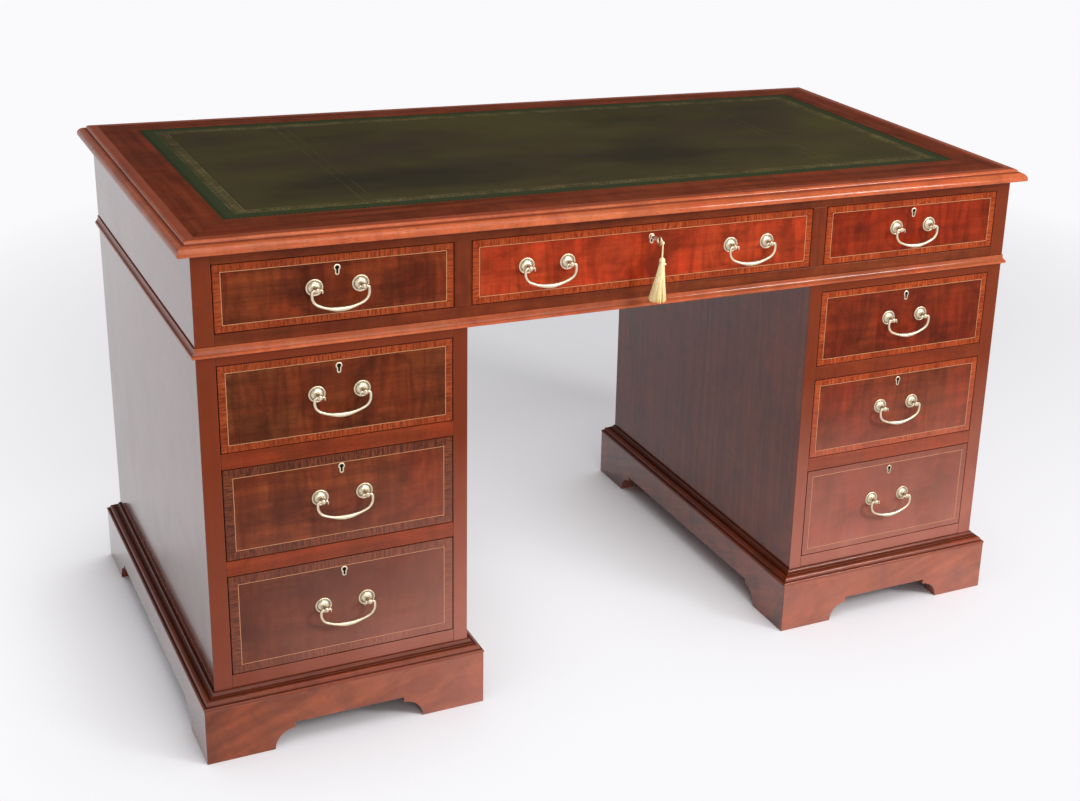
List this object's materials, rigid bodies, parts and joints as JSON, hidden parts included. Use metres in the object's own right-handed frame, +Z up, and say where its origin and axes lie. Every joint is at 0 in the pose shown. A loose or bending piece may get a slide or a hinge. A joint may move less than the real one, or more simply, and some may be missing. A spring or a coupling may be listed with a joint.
{
  "type": "pedestal desk",
  "caption": "Mahogany pedestal desk with a leather-lined moulded top, dovetailed drawers on bail handles, a kneehole and bracket plinths.",
  "frame": {"origin": "centre of the desk's bounding box, without the tassel, on the floor", "axes": "+X along the front to the sitter's right as seen from the drawers, +Y from the drawer front to the back, +Z up"},
  "size_m": [1.388, 0.7567, 0.78],
  "materials": {
    "mahogany_case": "French polish",
    "mahogany_dark": "French polish",
    "mahogany_veneer": "polished figured veneer with a crossbanded edge",
    "mahogany_moulding": "polished solid wood",
    "drawer_lining": "bare wood",
    "leather": "tooled and waxed",
    "brass": "satin, aged",
    "silk": "twisted yarn"
  },
  "bodies": {
    "case": {"top_panel": "mahogany_dark", "leather_inset": "leather", "top_edge_mouldings": "mahogany_moulding", "frieze_sides": "mahogany_case", "frieze_back": "mahogany_case", "frieze_rails": "mahogany_case", "frieze_drawer_runners": "drawer_lining", "pedestal_left_panels": "mahogany_case", "pedestal_right_panels": "mahogany_case", "pedestal_drawer_rails": "mahogany_case", "pedestal_drawer_runners": "drawer_lining", "waist_moulding": "mahogany_moulding", "plinth_left_boards": "mahogany_moulding", "plinth_right_boards": "mahogany_moulding", "plinth_mouldings": "mahogany_moulding", "plinth_corner_blocks": "drawer_lining", "drawer_stops": "drawer_lining"},
    "drawer_frieze_left": {"front_frieze_left": "mahogany_veneer", "box_frieze_left": "drawer_lining", "brasses_frieze_left": "brass"},
    "bail_frieze_left": {"bail_frieze_left": "brass"},
    "drawer_frieze_centre": {"front_frieze_centre": "mahogany_veneer", "box_frieze_centre": "drawer_lining", "brasses_frieze_centre": "brass"},
    "bail_frieze_centre_left": {"bail_frieze_centre_left": "brass"},
    "bail_frieze_centre_right": {"bail_frieze_centre_right": "brass"},
    "drawer_frieze_right": {"front_frieze_right": "mahogany_veneer", "box_frieze_right": "drawer_lining", "brasses_frieze_right": "brass"},
    "bail_frieze_right": {"bail_frieze_right": "brass"},
    "drawer_left_upper": {"front_left_upper": "mahogany_veneer", "box_left_upper": "drawer_lining", "brasses_left_upper": "brass"},
    "bail_left_upper": {"bail_left_upper": "brass"},
    "drawer_left_middle": {"front_left_middle": "mahogany_veneer", "box_left_middle": "drawer_lining", "brasses_left_middle": "brass"},
    "bail_left_middle": {"bail_left_middle": "brass"},
    "drawer_left_lower": {"front_left_lower": "mahogany_veneer", "box_left_lower": "drawer_lining", "brasses_left_lower": "brass"},
    "bail_left_lower": {"bail_left_lower": "brass"},
    "drawer_right_upper": {"front_right_upper": "mahogany_veneer", "box_right_upper": "drawer_lining", "brasses_right_upper": "brass"},
    "bail_right_upper": {"bail_right_upper": "brass"},
    "drawer_right_middle": {"front_right_middle": "mahogany_veneer", "box_right_middle": "drawer_lining", "brasses_right_middle": "brass"},
    "bail_right_middle": {"bail_right_middle": "brass"},
    "drawer_right_lower": {"front_right_lower": "mahogany_veneer", "box_right_lower": "drawer_lining", "brasses_right_lower": "brass"},
    "bail_right_lower": {"bail_right_lower": "brass"},
    "key": {"key": "brass"},
    "lock_bolt": {"lock_bolt": "brass"},
    "tassel": {"tassel": "silk", "tassel_cord": "silk"}
  },
  "joints": [
    {"name": "drawer_frieze_left_slide", "type": "slide", "parent": "case", "child": "drawer_frieze_left", "axis": [0, -1, 0], "range_m": [0, 0.44]},
    {"name": "bail_frieze_left_swing", "type": "hinge", "parent": "drawer_frieze_left", "child": "bail_frieze_left", "pos_m": [-0.4795, -0.351, 0.69775], "axis": [-1, 0, 0], "range_deg": [-20, 110]},
    {"name": "drawer_frieze_centre_slide", "type": "slide", "parent": "case", "child": "drawer_frieze_centre", "axis": [0, -1, 0], "range_m": [0, 0.44]},
    {"name": "bail_frieze_centre_left_swing", "type": "hinge", "parent": "drawer_frieze_centre", "child": "bail_frieze_centre_left", "pos_m": [-0.169, -0.351, 0.69775], "axis": [-1, 0, 0], "range_deg": [-20, 110]},
    {"name": "bail_frieze_centre_right_swing", "type": "hinge", "parent": "drawer_frieze_centre", "child": "bail_frieze_centre_right", "pos_m": [0.169, -0.351, 0.69775], "axis": [-1, 0, 0], "range_deg": [-20, 110]},
    {"name": "drawer_frieze_right_slide", "type": "slide", "parent": "case", "child": "drawer_frieze_right", "axis": [0, -1, 0], "range_m": [0, 0.44]},
    {"name": "bail_frieze_right_swing", "type": "hinge", "parent": "drawer_frieze_right", "child": "bail_frieze_right", "pos_m": [0.4795, -0.351, 0.69775], "axis": [-1, 0, 0], "range_deg": [-20, 110]},
    {"name": "drawer_left_upper_slide", "type": "slide", "parent": "case", "child": "drawer_left_upper", "axis": [0, -1, 0], "range_m": [0, 0.44]},
    {"name": "bail_left_upper_swing", "type": "hinge", "parent": "drawer_left_upper", "child": "bail_left_upper", "pos_m": [-0.4805, -0.351, 0.5425], "axis": [-1, 0, 0], "range_deg": [-20, 110]},
    {"name": "drawer_left_middle_slide", "type": "slide", "parent": "case", "child": "drawer_left_middle", "axis": [0, -1, 0], "range_m": [0, 0.44]},
    {"name": "bail_left_middle_swing", "type": "hinge", "parent": "drawer_left_middle", "child": "bail_left_middle", "pos_m": [-0.4805, -0.351, 0.38425], "axis": [-1, 0, 0], "range_deg": [-20, 110]},
    {"name": "drawer_left_lower_slide", "type": "slide", "parent": "case", "child": "drawer_left_lower", "axis": [0, -1, 0], "range_m": [0, 0.44]},
    {"name": "bail_left_lower_swing", "type": "hinge", "parent": "drawer_left_lower", "child": "bail_left_lower", "pos_m": [-0.4805, -0.351, 0.2115], "axis": [-1, 0, 0], "range_deg": [-20, 110]},
    {"name": "drawer_right_upper_slide", "type": "slide", "parent": "case", "child": "drawer_right_upper", "axis": [0, -1, 0], "range_m": [0, 0.44]},
    {"name": "bail_right_upper_swing", "type": "hinge", "parent": "drawer_right_upper", "child": "bail_right_upper", "pos_m": [0.4805, -0.351, 0.5425], "axis": [-1, 0, 0], "range_deg": [-20, 110]},
    {"name": "drawer_right_middle_slide", "type": "slide", "parent": "case", "child": "drawer_right_middle", "axis": [0, -1, 0], "range_m": [0, 0.44]},
    {"name": "bail_right_middle_swing", "type": "hinge", "parent": "drawer_right_middle", "child": "bail_right_middle", "pos_m": [0.4805, -0.351, 0.38425], "axis": [-1, 0, 0], "range_deg": [-20, 110]},
    {"name": "drawer_right_lower_slide", "type": "slide", "parent": "case", "child": "drawer_right_lower", "axis": [0, -1, 0], "range_m": [0, 0.44]},
    {"name": "bail_right_lower_swing", "type": "hinge", "parent": "drawer_right_lower", "child": "bail_right_lower", "pos_m": [0.4805, -0.351, 0.2115], "axis": [-1, 0, 0], "range_deg": [-20, 110]},
    {"name": "key_turn", "type": "hinge", "parent": "drawer_frieze_centre", "child": "key", "pos_m": [0, -0.336, 0.7233], "axis": [0, 1, 0], "range_deg": [0, 180]},
    {"name": "lock_bolt_throw", "type": "slide", "parent": "drawer_frieze_centre", "child": "lock_bolt", "axis": [0, 0, 1], "range_m": [0, 0.008]},
    {"name": "tassel_swing", "type": "hinge", "parent": "drawer_frieze_centre", "child": "tassel", "pos_m": [0, -0.3729, 0.7233], "axis": [0, 1, 0], "range_deg": [-45, 45]}
  ],
  "couplings": [
    {"joint": "lock_bolt_throw", "follows": "key_turn", "m_per_rad": 0.002546}
  ]
}
